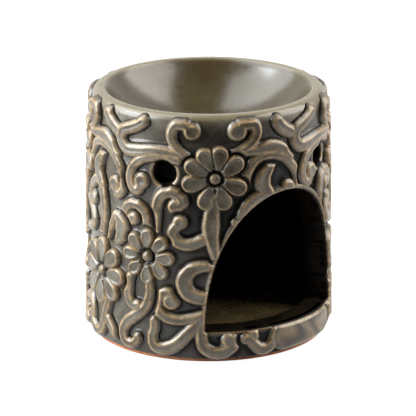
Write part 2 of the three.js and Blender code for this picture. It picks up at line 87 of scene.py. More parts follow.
# The drawing of the relief: every point is (across from the top daisy, up from the table). A stroke is a
# path, its widths at the start, the middle and the end, and the width of the round eye that ends a scroll.
DAISIES = {
    "top_daisy": {"at": (0, 68.3), "reach": 12.3, "petals": (-71, -23, 36, 80, 114, 151, 193, 249)},
    "middle_daisy": {"at": (-24.2, 38.2), "reach": 10.6, "petals": range(0, 360, 45)},
    "low_daisy": {"at": (-46.6, 27.8), "reach": 13, "petals": range(-2, 358, 45)},
}
SPRAYS = {
    "top_daisy": [
        ([(0, 62.6), (-1.3, 54), (-1.4, 48), (-0.7, 43.5), (0.5, 38.5)], (3.2, 5.4, 2.2)),
        ([(-3.3, 46.6), (-6.7, 44.6), (-10.3, 43.9), (-13.5, 45.2), (-14.7, 48.4), (-12.2, 52)],
         (3.6, 3.7, 3.4), 4.6),
    ],
    "middle_daisy": [
        ([(-30.9, 31), (-32.1, 26), (-31.9, 21.6), (-29.7, 19), (-26.5, 19.6)], (2.6, 3.4, 3.4)),
        ([(-23.9, 30.5), (-23.2, 25), (-24.7, 19.4), (-28.5, 15.6), (-32.3, 12.4), (-34.5, 8.4),
          (-33.5, 5), (-30.7, 4.3), (-28.4, 6.2), (-28, 8.8)], (2.6, 4, 2.6)),
    ],
    "low_daisy": [
        ([(-41.4, 19.8), (-43.6, 13.5), (-45.2, 8.5), (-47.2, 4.8), (-50.6, 4.2), (-53.2, 6.2),
          (-55, 8.4), (-57.8, 8.4)], (3, 3.4, 3.2)),
        ([(-43.2, 12), (-40.6, 8), (-37.6, 4.8)], (2.4, 3.2, 2.6)),
        ([(-53, 7.6), (-54.2, 12.8), (-57.2, 15.2), (-61.6, 13.2)], (2.6, 3, 2.4)),
    ],
    "crown_vine": [
        ([(-8.9, 75.6), (-12.9, 78.6), (-15.2, 82.4), (-14.7, 86.2), (-11.7, 88.2), (-8.1, 85.3)],
         (2, 3.2, 3), 5.4),
        ([(-11.3, 76.6), (-16.3, 77.3), (-22.3, 77.4), (-28.3, 76.4), (-33, 76.2), (-35.9, 79.2),
          (-35.1, 82.6), (-31.2, 84.4), (-27.6, 86.2), (-25.1, 88.6)], (2.6, 4.1, 3.6)),
        ([(-44, 88.8), (-43, 85.9), (-40.2, 83.5), (-36.6, 81.8)], (4, 4.4, 3.6)),
        ([(-11.3, 74.4), (-16.3, 75), (-22.3, 75), (-27.3, 73.3), (-30.6, 70.2), (-31.9, 66.2),
          (-30.7, 62.6), (-28.2, 62), (-26.8, 65.6)], (2.8, 3, 3), 5.4),
    ],
    "arch_vine": [
        ([(4.3, 76.4), (8.7, 78), (12.7, 80.6), (14.9, 84.6), (13.6, 87.8), (10.2, 88.4), (7.8, 85.2)],
         (2, 3.4, 3), 6),
        ([(9.2, 77.8), (14.3, 77.8), (19.2, 78.5), (23.7, 77.8), (27, 75.4), (29.4, 72.4)],
         (2.2, 4.4, 2.8)),
        ([(10.6, 64.5), (11.3, 69.6), (14.5, 74.2), (19.7, 75.6), (25.3, 74), (29.7, 70), (32.3, 65),
          (31.7, 60.6), (29, 58.6), (27.6, 62.2)], (2.6, 2.9, 2.8), 5.4),
    ],
    "side_vine": [
        ([(-45.4, 73.4), (-47.6, 70.4), (-49.5, 67.6), (-49.6, 64.6), (-47.6, 61.4), (-46, 59)],
         (1.8, 5.4, 3.4)),
        ([(-46.6, 41), (-45.4, 47), (-45.2, 53), (-46.6, 58.4), (-49.6, 61.2), (-53.6, 59.6),
          (-56.6, 56.4), (-57, 53), (-54.4, 52.8)], (3, 3.2, 3.2), 4.6),
        ([(-61, 52.6), (-58.4, 51), (-55, 48), (-53.2, 44.6), (-55.8, 41.8), (-60.6, 41.2)], (2.6, 3, 2.4)),
    ],
    "leaf_pair": [
        ([(-38.2, 52.2), (-39.7, 48.4), (-41.5, 44.4), (-42.9, 40.8)], (2.2, 2.6, 2.2)),
        ([(-38, 51.4), (-35.6, 48), (-35.4, 44.6), (-37.7, 40.6)], (2.2, 6.2, 2.6)),
    ],
    "left_scroll": [
        ([(-24.3, 45.5), (-24.2, 50), (-25.3, 54.4), (-28.9, 56.8), (-32.5, 55.6), (-33.9, 52.4),
          (-32.4, 50), (-30, 51.2)], (2.8, 3.2, 3.2), 4.2),
    ],
    "right_scroll": [
        ([(-21, 46.5), (-20.9, 52), (-20.6, 57.5), (-19.1, 61.2), (-15.9, 62.9), (-12.5, 61.8),
          (-11.2, 59.2), (-13.8, 57.7)], (2.6, 3.6, 3.2), 5),
    ],
    "window_scroll": [
        ([(0.2, 35.8), (-3.1, 36.2), (-6.9, 35.4), (-9.9, 32.9), (-10.7, 29.6), (-9.3, 26.2),
          (-6.1, 24.6), (-2.3, 24.2), (0.2, 24.4)], (2.6, 5.2, 4)),
    ],
    "foot_vine": [
        ([(1.7, 21), (-3.9, 18.2), (-8.3, 16.6), (-13.3, 15.8), (-17.9, 17), (-20.2, 20.6),
          (-19.2, 24.4), (-16.4, 25.8), (-14.4, 24.2), (-15.2, 22.6)], (2.4, 3.4, 3), 5.6),
        ([(-3.9, 17.4), (-8.5, 12), (-13.5, 6.6), (-17.9, 4.6), (-21.3, 5.4), (-22.1, 8.8),
          (-21.3, 12.4), (-21.9, 16.4)], (3.4, 4.2, 2.6)),
        ([(-4.7, 16), (-4.8, 10.5), (-3.9, 6.2), (-0.7, 4.2), (3.1, 4.3), (6.1, 6.4), (5, 8.4)],
         (3.2, 3.7, 3.6), 5.2),
    ],
}
# The leaf along the sill is measured across from the window's middle.
SILL_LEAF = ([(-5.1, 7.6), (10, 7.6), (24, 7.6)], (9.8, 9.8, 9.8))
ON_THE_LEAF = ["low_daisy"]  # sprays that run on over the leaf

# Form of the vines and the leaf
VINE_RISE = 2.1  # crest above the wall
LEAF_RISE = 1.8
UNDER_LEAF = 0.8  # how far a vine sinks under the sill's leaf
LEAF_LAP = (0.2, 2.4)  # how far inside the leaf's edge it starts to sink and has sunk
VINE_FOOT = 0.95  # spread of a vine's foot past its drawn edge
END_TRIM = 0.6  # half widths taken off either end of a vine
LAYER = 0.1  # each later stroke of a spray lies this much lower
SHOULDER = 2.1  # width of the rounding along an edge
SHOULDER_POWER = 0.8
HOLLOW_SPAN = (0.7, 1.7)  # where a sprig's back dips, in shoulder widths
CHANNEL = 0.2  # hollow along the middle of a vine
GROOVE = 0.35  # line left between two touching sprigs
ROOT_SLOPE = 2.2  # steepness of a sprig's edge inside the wall
ROOT_DEPTH = 1.5
ROOT_BACK = 0.1  # thickness left behind a sprig's lowest edge

# Form of the daisies
DAISY_RISE = 2.3
DAISY_BED = 0.3  # height of the ground round the eye
EYE_RADIUS = 2.1
EYE_POWER = 0.7  # how full the eye's dome is
EYE_GAP = 0.3  # flat ground round the eye
EYE_MOAT = 3.8  # where the petals reach their full height
PETAL_LENGTHS = (0, 0.66, 0.72)  # a petal's root, widest place and tip, as shares of its reach
PETAL_HALVES = (0.17, 0.29, 0.28)  # its half widths there
PETAL_SHOULDER = 1.3
PETAL_HOLLOW = 0.34
PETAL_GROOVE = 0.55  # half width of the groove between two petals
GROOVE_WIDENING = 0.6  # how much wider the groove is at the eye
GROOVE_DEPTH = 1.25
GROOVE_AT_TIP = 0.6  # its depth at the tips, as a share of that at the eye

# Form of the wall
FILLET = 0.2  # glaze that fills the corner between a sprig and the wall
FILLET_WIDTH = 1.1
RIM_EDGE = 90  # vines end below this height
RIM_CLEAR = 0.4  # depth below the top where no sprig stands out
GROUND_SINK = 0.8  # depth of the ground between the sprigs
GROUND_FOOT = 5  # height below which it comes up to the plain wall
GROUND_TOP = (5, 1)  # depths under the dish's seat where it comes up
FOOT_ROUND = 0.5  # how far the wall's lowest edge is set in
BORDER_RISE = 1.4  # rounded border along the window
BORDER_WIDTH = (1.2, 2.4)  # beside the window's foot and over its arch
BORDER_WIDENS = 30  # height from which it widens
BORDER_SLOPE = (1, 0.6)  # reach of its outer slope inside and past its width
JAMB_CLEAR = 0.2  # a sprig is down at the border this close to the window
JAMB_SINK = 0.1  # and lies this much below the border there
JAMB_NEAR = 0.5  # a sprig this close to the window is cut by it
EDGE_ROUND = 1.5  # rounding of the window's and the vents' edges
OUTER_SKIN = 1.2 * EDGE_ROUND  # the wall's outside lies no deeper than this
FLOOR_BEVEL = 0.6
HEEL_ROUND = 0.7
TOE_ROUND = 0.5
HUB = 0.02  # radius left open at the axis of a turned solid

# Where the glaze breaks to tan, from 0 to 1
VINE_BREAK = 1.35  # distance inside a vine's foot
PETAL_BREAK = 0.75
EDGE_BREAK = 0.8  # distance from the edge of an opening
BREAK_WIDTH = 0.5
EYE_TAN = 0.4  # on a daisy's eye
FLANK_TAN = 0.1  # on the sides of a sprig
LEAF_TAN = 0.4  # where the glaze is thinnest on the sill's leaf
SKIN = 0.4  # a point further than this below a sprig's surface is on its side

# Where the glaze pools and painted shade darkens corners and low flanks, from 0 to 1
# pooled glaze low on a sprig's flanks, darkened there by painted shade too
FLANK_POOL_AND_SHADE = 0.85
FLANK = (0.1, 1.3)  # heights between which it thins out
LEAF_POOL = 0.42  # where the glaze is thickest on the sill's leaf
LEAF_CLOUD = (1.9, 2.1, 3.7)  # breadth, height and slant of the leaf's clouds
LEAF_CURL = 1.8  # how far a cloud winds
WALL_POOL = 0.66  # on open ground; beside a sprig it rises to 1, pooled glaze and painted shade in the corner
POOL_AND_SHADE_REACH = 1.4
SEAT_LOSS = 0.4  # share of the pool that is lost under the dish
SEAT_REACH = 6
LIT_SIDE = math.radians(-106)  # the side of the drum painted lighter, towards the left softbox: painted light
LIT_SIDE_POWER = 6
LIT_SIDE_LOSS = 0.78  # share of the pool taken off there as painted light
EDGE_POOL = (0.6, 2.4)  # distances from an opening's edge where the pool starts and is full
BORE_POOL = 0.3
RIM_POOL = 0.05
COLLAR_POOL = 0.5  # what the dish's collar adds to the rim's
COLLAR_LIT_LOSS = 0.8  # share of it taken off as painted light on the lit side
COLLAR_BLEND = (7, 2)  # depths below the top between which the collar ends
CUT_FACE_SHADE_FADE = (0.3, 0.7)  # distances between which a cut face's painted shade fades
RIM_SHARE = 0.8  # how much of the rim's own colour shows
RIM_BLEND = (2.6, 0.4)  # depths below the top where that colour starts and is full
LIP_BLEND = 0.3  # half width of the change from the bowl to the rim
BOWL_EDGE = 0.1  # the bowl's colour ends this far past the lip
UNDER_SEAT = 2  # the dish is painted dark as shade below this depth under its seat

# Fineness of the grid, the curves and the turned solids
COLUMNS = 224  # of the sheet, round one panel
COLUMN = PANEL_WIDTH / COLUMNS
ROW = 0.3
ROWS = int(HEIGHT / ROW) + 2
LAST_ROW = ROWS - 1.001  # just short of the grid's last row
SPRAY_MARGIN = 2  # millimetres of grid on either side of a spray
LEAF_MARGIN = 10  # columns of grid on either side of the window
LEAF_REACH = 40  # the sill's leaf lies within this distance of the window's middle
LEAF_STRIDE = 3  # every third disc shows the even leaf well enough
FAR = 9.0  # stands for any distance too great to matter
SPLINE_STEPS = 16
DISC_STEP = 0.22
OUTLINE_STEPS = 320  # of the window's edge, for distances
CUTTER_STEPS = 96
CUT_PAST = 6  # how far a vent's cutter reaches past the wall
VENT_SIDES = 48
CRUMB_POINTS = 500  # a loose piece with no more points than this is dropped
WALL_COLUMNS = 516
WALL_ROWS = 167
BORE_ROWS = 10
DISH_COLUMNS = 240
COLLAR_STEPS = 6
RIM_STEPS = 8
LIP_STEPS = 4
LIP_END = 150  # degrees
LIP_SHARE = 1.6  # degrees of the bowl that the lip's rounding takes up
BOWL_STEPS = 40
UNDERSIDE_STEPS = 16
BOWL_FOOT = -89.9  # degrees, just beside the axis
FLOOR_COLUMNS = 120
FLOOR_RINGS = 10
FOOT_COLUMNS = 180
HEEL_STEPS = 5
TOE_STEPS = 4
SPRIG_CREASE = 60  # degrees; a sharper bend shows as an edge
WALL_CREASE = 50
FLOOR_CREASE = 40

# Colours as on screen, 0 to 255
GREY = (98, 91, 78)
OLIVE = (64, 54, 38)
TAN = (168, 138, 99)
# pooled glaze, which also serves as painted shade in corners and low on flanks
POOL_AND_SHADE = (40, 34, 26)
# the thickest pool, and painted shade at its darkest
DEEP = (8, 7, 6)
DISH_OLIVE = (68, 60, 40)
DISH_BROWN = (58, 48, 30)
RIM_GREY = (112, 102, 80)
SPECK = (48, 42, 32)
# painted shade inside the drum, under the dish and on the faces the openings were cut to
CHAMBER_SHADE = (14, 11, 8)
CHAMBER_SHADE_PALE = (28, 22, 16)
FLOOR_OLIVE = (92, 82, 56)
FLOOR_BROWN = (76, 64, 42)
CLAY_LIGHT = (196, 122, 78)
CLAY_DARK = (172, 100, 62)
GROG = (222, 176, 136)

# Clouds in the glaze and the clay: their size, their detail and the two levels of noise they run between
DRIFTS = (9, 4, 0.38, 0.64)
POOL_CLOUDS = (8, 3, 0.35, 0.65)
BREAK_CLOUDS = (2.2, 4, 0.28, 0.66)
BOWL_CLOUDS = (14, 3, 0.3, 0.7)
CHAMBER_CLOUDS = (7, 3, 0.35, 0.7)
SPECKS = (0.55, 2, 0.66, 0.74)
SATIN_CLOUDS = (1.4, 3, 0.3, 0.7)
CLAY_CLOUDS = (5, 4, 0.35, 0.65)
GROG_SPECKS = (0.5, 2, 0.62, 0.72)
CLAY_SATIN_CLOUDS = (1.2, 3, 0.3, 0.7)
NOISE_ROUGHNESS = 0.55

# What the clouds and the marks on the meshes do to the glaze and the clay
POOL_LEVELS = (0.05, 0.6)  # pooled glaze and painted shade start to darken and are dark
DEEP_LEVELS = (0.5, 0.85)  # the thickest pool and darkest painted shade start to turn black and are black
POOL_UNEVEN = (0.8, 1.2)
BREAK_UNEVEN = (0.15, 0.9)
SPECK_SHARE = 0.5
SATIN = (0.21, 0.32)  # roughness
BOWL_SATIN = 0.85  # the bowl's roughness, as a share of the wall's
SHINE = 0.5
# almost no shine where the inside and the cut faces are painted dark as shade
CHAMBER_SHINE = 0.03
DEEP_SHINE = 0.2  # as a share of the shine elsewhere; dimmed where pool and painted shade are darkest
GLAZE_INDEX = 1.52  # of refraction
GLAZE_SKIN = (1.1, 3)  # size and detail of its ripples
GLAZE_BUMP = (0.16, 0.06)  # their strength and depth
GROG_SHARE = 0.6
CLAY_SATIN = (0.72, 0.9)
CLAY_SKIN = (0.6, 4)
CLAY_BUMP = (0.4, 0.15)

# Camera and studio
CAMERA_TURN = -39.7
CAMERA_RISE = 17.71
CAMERA_DISTANCE = 1.15
AIM = Vector((0, 0, 0.045))
FOCAL_PIXELS = 3152.2
IMAGE = 416
AIM_PIXEL = (208.5, 205.1)
SENSOR = 36
CLIP = (0.05, 20)
LAMP_DISTANCE = 0.85
# Softboxes: turn from the camera's side, rise, width and height, power and colour
SOFTBOXES = {
    "left_softbox": (-78, 22, (0.55, 0.85), 20, (0.9, 0.96, 1)),
    "high_softbox": (-106, 52, (0.6, 0.8), 8, (0.95, 0.98, 1)),
    "right_softbox": (96, 32, (0.75, 1.05), 14.5, (1, 0.97, 0.91)),
}
WHITE = (1, 1, 1, 1)
ROOM_LIGHT = 0.05
FLOOR_HALF = 4.0  # half its width
FLOOR_LIT = (0.2, 0.2, 0.2, 1)  # the part of the floor's white that the lamps light
FLOOR_ROUGHNESS = 0.9
FLOOR_GLOW = 0.92  # the part that is its own
CLOTH = (0.02, 0.02, 0.02, 1)
# Dark cards: how far from the axis towards the camera, how high, and half their width
BACK_CARD = (1.7, 1.9, 1.8)
FRONT_CARD = (0.67, 0.006, 0.5)
CEILING_CARD = (0, 1.9, 1.0)
FRONT_LEAN = 0.01  # squares the front card to the camera


def smooth(x, low, high):
    """0 below low, 1 above high, with an even rise between."""
    t = np.clip((x - low) / (high - low), 0, 1)
    return t * t * (3 - 2 * t)


def outer_radius(z):
    """Outside of the wall and of the rim's rounding at a height."""
    straight = BASE_RADIUS + (TOP_RADIUS - BASE_RADIUS) * z / HEIGHT
    over = np.clip(z - (HEIGHT - RIM_ROUND), 0, RIM_ROUND)
    return straight - RIM_ROUND + np.sqrt(RIM_ROUND**2 - over**2)


def rolled(across, z, lift, turn):
    """Points of the sheet, lifted off the wall and rolled round the drum, in metres."""
    radius = (outer_radius(z) + lift) * MM
    angle = turn + across / SHEET_RADIUS
    return np.stack([radius * np.sin(angle), -radius * np.cos(angle), z * MM], axis=-1)


def sheet_place(points, turn):
    """Where points in millimetres lie on the sheet: across from a turn, up, and lift off the wall."""
    angle = np.arctan2(points[:, 0], -points[:, 1]) - turn
    angle = (angle + math.pi) % (2 * math.pi) - math.pi
    lift = np.hypot(points[:, 0], points[:, 1]) - outer_radius(points[:, 2])
    return angle * SHEET_RADIUS, points[:, 2], lift


def round_the_drum(across):
    """The same place on the sheet, from minus to plus half the way round."""
    around = 2 * math.pi * SHEET_RADIUS
    return (across + around / 2) % around - around / 2


# Distances on the flat sheet, negative inside a shape


def spline(points):
    """A curve through drawing points: evenly spaced places on the sheet, their shares and its length."""
    knots = np.array(points, float) * (ACROSS, 1)
    padded = np.vstack([knots[:1], knots, knots[-1:]])
    t = np.linspace(0, 1, SPLINE_STEPS, endpoint=False)[:, None]
    runs = []
    for before, start, end, after in zip(padded, padded[1:], padded[2:], padded[3:]):
        leaving = (end - before) / 2
        arriving = (after - start) / 2
        cubic = 2 * start - 2 * end + leaving + arriving
        square = 3 * end - 3 * start - 2 * leaving - arriving
        runs.append(cubic * t**3 + square * t**2 + leaving * t + start)
    fine = np.vstack([*runs, knots[-1:]])
    walked = np.concatenate([[0], np.cumsum(np.linalg.norm(np.diff(fine, axis=0), axis=1))])
    length = walked[-1]
    share = np.linspace(0, 1, int(length / DISC_STEP))
    places = np.column_stack([np.interp(share * length, walked, fine[:, k]) for k in (0, 1)])
    return places, share, length


def vine_discs(stroke):
    """Places and radii of the discs that a vine and the eye at its end cover."""
    path, widths, *eye_width = stroke
    places, share, length = spline(path)
    half = np.interp(share, [0, 0.5, 1], widths) / 2 + VINE_FOOT
    start = END_TRIM * half[0] / length
    end = 1 - END_TRIM * half[-1] / length
    kept = (share >= start) & (share <= end)
    ends = np.repeat(places[-1:], len(eye_width), axis=0)
    places = np.vstack([places[kept], ends])
    half = np.concatenate([half[kept], np.array(eye_width) / 2 + VINE_FOOT])
    places[:, 1] = np.minimum(places[:, 1], RIM_EDGE - half)
    return places, half


def to_discs(x, z, places, radii):
    """Distance from points of the sheet to the nearest edge of some discs."""
    near = np.full(np.broadcast(x, z).shape, FAR)
    for (px, pz), radius in zip(places, radii):
        np.minimum(near, np.hypot(x - px, z - pz) - radius, out=near)
    return near


def vine_distance(stroke, across, up):
    """Distance to a vine's edge at every point of a grid."""
    places, half = vine_discs(stroke)
    distance = np.full((len(up), len(across)), FAR)
    reach = half.max() + FAR / 2
    low = places.min(axis=0) - reach
    high = places.max(axis=0) + reach
    columns = np.flatnonzero((across > low[0]) & (across < high[0]))
    rows = np.flatnonzero((up > low[1]) & (up < high[1]))
    near = to_discs(across[columns][None, :], up[rows][:, None], places, half)
    distance[np.ix_(rows, columns)] = near
    return distance


def daisy_distances(daisy, across, up):
    """Distances to a daisy's outline, to the groove beside the nearest petal and to the middle."""
    x = across[None, :] - daisy["at"][0] * ACROSS
    z = up[:, None] - daisy["at"][1]
    reach = daisy["reach"]
    petals = []
    for heading in np.radians(daisy["petals"]):
        along = np.clip(x * np.cos(heading) + z * np.sin(heading), 0, PETAL_LENGTHS[-1] * reach)
        width = np.interp(along / reach, PETAL_LENGTHS, PETAL_HALVES) * reach
        petals.append(np.hypot(x - along * np.cos(heading), z - along * np.sin(heading)) - width)
    nearest, second = np.sort(petals, axis=0)[:2]
    return nearest, (second - nearest) / 2, np.hypot(x, z)


def window_outline(steps):
    """Points round the window on the sheet: from its right foot over the arch, then along the sill."""
    angle = np.linspace(0, math.pi, steps + 1)
    power = 2 / WINDOW_POWER
    x = WINDOW_HALF * np.sign(np.cos(angle)) * np.abs(np.cos(angle)) ** power
    z = SILL_HEIGHT + WINDOW_RISE * np.abs(np.sin(angle)) ** power
    sill = np.linspace(-WINDOW_HALF, WINDOW_HALF, steps + 1)[1:-1]
    along_sill = np.column_stack([sill, np.full(steps - 1, SILL_HEIGHT)])
    return np.vstack([np.column_stack([x, z]), along_sill])


def window_distance(across, z, turn):
    """Distance to the window's edge at points of a panel's sheet, negative inside the window."""
    x = round_the_drum(across + turn * SHEET_RADIUS)
    distance = np.full(x.shape, FAR)
    near = (np.abs(x) < WINDOW_HALF + FAR) & (z < SILL_HEIGHT + WINDOW_RISE + FAR)
    px, pz = x[near], z[near]
    outline = window_outline(OUTLINE_STEPS)
    close = to_discs(px, pz, outline, np.zeros(len(outline)))
    up = np.clip((pz - SILL_HEIGHT) / WINDOW_RISE, 0, 1)
    half = WINDOW_HALF * (1 - up**WINDOW_POWER) ** (1 / WINDOW_POWER)
    inside = (pz > SILL_HEIGHT) & (pz < SILL_HEIGHT + WINDOW_RISE) & (np.abs(px) < half)
    distance[near] = np.where(inside, -close, close)
    return distance


def leaf_distance(across, z, turn):
    """Distance to the sill's leaf at points of a panel's sheet."""
    places, half = vine_discs(SILL_LEAF)
    x = round_the_drum(across + turn * SHEET_RADIUS)
    distance = np.full(x.shape, FAR)
    near = (np.abs(x) < LEAF_REACH) & (z < 2 * SILL_HEIGHT)
    distance[near] = to_discs(x[near], z[near], places[::LEAF_STRIDE], half[::LEAF_STRIDE])
    return distance


def vent_distance(across, z):
    """Distance to the nearest vent's edge at points of the sheet."""
    middle = VENT_AT[0] * ACROSS
    beside = (across - middle + PANEL_WIDTH / 2) % PANEL_WIDTH - PANEL_WIDTH / 2
    return np.hypot(beside, z - VENT_AT[1]) - VENT_RADIUS


# Heights and glaze from distances


def profile(inside, rise, hollow, shoulder_width=SHOULDER):
    """Height of a sprig at a distance inside its edge: a rounded shoulder, then a slightly hollow back."""
    t = np.clip(inside / shoulder_width, 0, 1)
    shoulder = rise * (1 - (1 - t) ** 2) ** SHOULDER_POWER
    dip = hollow * smooth(inside, HOLLOW_SPAN[0] * shoulder_width, HOLLOW_SPAN[1] * shoulder_width)
    return np.where(inside < 0, ROOT_SLOPE * inside, shoulder - dip)


def border_width(z):
    """Width of the border along the window at a height."""
    widening = smooth(z, BORDER_WIDENS, SILL_HEIGHT + WINDOW_RISE)
    return BORDER_WIDTH[0] + (BORDER_WIDTH[1] - BORDER_WIDTH[0]) * widening


def border(from_window, z):
    """Height of the rounded border along the window."""
    width = border_width(z)
    return BORDER_RISE * (1 - smooth(from_window, width - BORDER_SLOPE[0], width + BORDER_SLOPE[1]))


def into_border(height, from_window, z):
    """A sprig's height, brought down into the border where it reaches the window's edge."""
    free = np.clip((from_window - JAMB_CLEAR) / border_width(z), 0, 1)
    sunk = height * free + (np.minimum(height, BORDER_RISE) - JAMB_SINK) * (1 - free)
    return sunk - round_off(np.maximum(from_window, 0))


def round_off(distance):
    """How much an edge's rounding takes off at a distance from the edge."""
    t = np.clip(distance / EDGE_ROUND, 0, 1)
    return EDGE_ROUND * (1 - np.sqrt(1 - (1 - t) ** 2))


def broken_glaze(inside, at):
    """How much the glaze breaks to tan at a distance inside an edge."""
    return np.exp(-(((inside - at) / BREAK_WIDTH) ** 2))


def edge_glaze(distance):
    """Broken glaze along the rounded edge of an opening."""
    return broken_glaze(np.abs(distance), EDGE_BREAK)


def cut_face_shade(distance):
    """1 on the faces that an opening was cut to, down to 0 just beside them: where they are painted dark as
    shade.
    """
    return 1 - smooth(np.abs(distance), *CUT_FACE_SHADE_FADE)


def flank_pool_and_shade(raised):
    """Glaze that pools low on a sprig's flanks, darkened there by painted shade too."""
    return FLANK_POOL_AND_SHADE * (1 - smooth(raised, *FLANK))


def leaf_clouds(across, z):
    """Uneven thickness of the glaze over the sill's leaf, from 0 to 1."""
    breadth, height, slant = LEAF_CLOUD
    winding = LEAF_CURL * np.sin(z / height + across / slant)
    return 0.5 + 0.5 * np.sin(across / breadth + winding)


def lit_side_share(turn):
    """1 on the side of the drum towards the left softbox, down to 0 on the other: where the glaze is
    painted lighter as painted light.
    """
    return (0.5 + 0.5 * np.cos(turn - LIT_SIDE)) ** LIT_SIDE_POWER


class Sheet:
    """Distances to the sprigs laid so far, on one panel of the sheet that repeats round the drum."""

    def __init__(self):
        self.taken = np.full((ROWS, COLUMNS), FAR)
        self.up = np.arange(ROWS) * ROW

    def over(self, columns):
        return self.taken[:, columns % COLUMNS]

    def take(self, columns, distance):
        places = columns % COLUMNS
        self.taken[:, places] = np.minimum(self.taken[:, places], distance)

    def at(self, across, z):
        """Distance to the nearest sprig at points of the sheet, read between the grid's points."""
        column = across / COLUMN
        row = np.clip(z / ROW, 0, LAST_ROW)
        c0 = np.floor(column).astype(int)
        r0 = np.floor(row).astype(int)
        fc = column - c0
        fr = row - r0
        left, right = c0 % COLUMNS, (c0 + 1) % COLUMNS
        low = self.taken[r0, left] * (1 - fc) + self.taken[r0, right] * fc
        high = self.taken[r0 + 1, left] * (1 - fc) + self.taken[r0 + 1, right] * fc
        return low * (1 - fr) + high * fr


SHEET = Sheet()
DAISY_SHEETS = {name: Sheet() for name in DAISIES}


def sheet_grid(columns):
    """Places across and up at every point of some columns of the sheet."""
    return np.meshgrid(columns * COLUMN, SHEET.up)


def read_grid(grid, columns, across, z):
    """A grid's value at the nearest grid point."""
    middle = (columns[0] + columns[-1]) / 2 * COLUMN
    across = round_the_drum(across - middle) + middle
    c = np.clip(np.rint(across / COLUMN).astype(int) - columns[0], 0, len(columns) - 1)
    r = np.clip(np.rint(z / ROW).astype(int), 0, ROWS - 1)
    return grid[r, c]


def spray_columns(name):
    """The grid's columns that a spray covers, with a margin."""
    spots = []
    for path, widths, *eye_width in SPRAYS[name]:
        reach = max(*widths, *eye_width)
        spots += [(x - reach, x + reach) for x, _ in path]
    if name in DAISIES:
        daisy = DAISIES[name]
        spots.append((daisy["at"][0] - daisy["reach"], daisy["at"][0] + daisy["reach"]))
    low = min(a for a, _ in spots) * ACROSS - SPRAY_MARGIN
    high = max(b for _, b in spots) * ACROSS + SPRAY_MARGIN
    return np.arange(math.floor(low / COLUMN), math.ceil(high / COLUMN) + 1)


def vine_fields(strokes, blocked):
    """Height and broken glaze of a spray's strokes, each rounded by itself so that creases stay."""
    height = np.full(blocked.shape, -FAR)
    broken = np.zeros_like(height)
    for layer, distance in enumerate(strokes):
        inside = -np.maximum(distance, blocked)
        own = profile(inside, VINE_RISE - layer * LAYER, CHANNEL)
        broken = np.where(own > height, broken_glaze(inside, VINE_BREAK), broken)
        height = np.maximum(height, own)
    return height, broken


def daisy_fields(name, columns):
    """Height and broken glaze of a spray's daisy."""
    shape = (ROWS, len(columns))
    if name not in DAISIES:
        return np.full(shape, -FAR), np.zeros(shape)
    daisy = DAISIES[name]
    outline, from_groove, from_middle = daisy_distances(daisy, columns * COLUMN, SHEET.up)
    towards_eye = 1 - smooth(from_middle, EYE_MOAT, PETAL_LENGTHS[-1] * daisy["reach"])
    widened = from_groove / (1 + GROOVE_WIDENING * towards_eye)
    depth = GROOVE_DEPTH * (GROOVE_AT_TIP + (1 - GROOVE_AT_TIP) * towards_eye)
    grooved = depth * (1 - smooth(widened, 0, PETAL_GROOVE))
    moat = 1 - smooth(from_middle, EYE_RADIUS + EYE_GAP, EYE_MOAT)
    height = profile(-outline, DAISY_RISE, PETAL_HOLLOW, PETAL_SHOULDER)
    height = np.where(outline < 0, height - grooved, height)
    height = np.where(outline < 0, height + (DAISY_BED - height) * moat, height)
    on_eye = from_middle < EYE_RADIUS
    dome = np.sqrt(np.clip(1 - (from_middle / EYE_RADIUS) ** 2, 0, 1))
    eye = np.where(on_eye, DAISY_BED + (DAISY_RISE - DAISY_BED) * dome**EYE_POWER, -FAR)
    broken = broken_glaze(-outline, PETAL_BREAK) * (1 - moat)
    return np.maximum(height, eye), np.maximum(broken, np.where(on_eye, EYE_TAN * dome, 0))


# Meshes


def mesh_object(name, points, faces):
    mesh = bpy.data.meshes.new(name)
    mesh.from_pydata(points, [], faces)
    mesh.update()
    obj = bpy.data.objects.new(name, mesh)
    scene.collection.objects.link(obj)
    return obj


def set_values(mesh, name, values):
    """Writes one number for each point of a mesh, which the glaze reads by name."""
    layer = mesh.attributes.get(name) or mesh.attributes.new(name, "FLOAT", "POINT")
    layer.data.foreach_set("value", np.ascontiguousarray(values, np.float32))


def points_of(mesh):
    """A mesh's points in millimetres."""
    flat = np.empty(len(mesh.vertices) * 3, np.float32)
    mesh.vertices.foreach_get("co", flat)
    return flat.reshape(-1, 3).astype(float) / MM


def cut(obj, *cutters):
    """Cuts solids out of a solid for good."""
    for cutter in cutters:
        modifier = obj.modifiers.new("cut", "BOOLEAN")
        modifier.operation = "DIFFERENCE"
        modifier.solver = "MANIFOLD"
        modifier.object = cutter
    bpy.context.view_layer.update()
    made = bpy.data.meshes.new_from_object(obj.evaluated_get(bpy.context.evaluated_depsgraph_get()))
    obj.modifiers.clear()
    old = obj.data
    obj.data = made
    bpy.data.meshes.remove(old)


def drop_crumbs(mesh):
    """Deletes the small loose pieces that a cut leaves."""
    corners = np.array([v for e in mesh.edges for v in e.vertices]).reshape(-1, 2)
    label = np.arange(len(mesh.vertices))
    while True:
        low = np.minimum(label[corners[:, 0]], label[corners[:, 1]])
        before = label.copy()
        np.minimum.at(label, corners[:, 0], low)
        np.minimum.at(label, corners[:, 1], low)
        label = label[label]
        if (label == before).all():
            break
    names, counts = np.unique(label, return_counts=True)
    crumbs = np.isin(label, names[counts <= CRUMB_POINTS])
    made = bmesh.new()
    made.from_mesh(mesh)
    loose = [vertex for vertex, crumb in zip(made.verts, crumbs) if crumb]
    bmesh.ops.delete(made, geom=loose, context="VERTS")
    made.to_mesh(mesh)
    made.free()


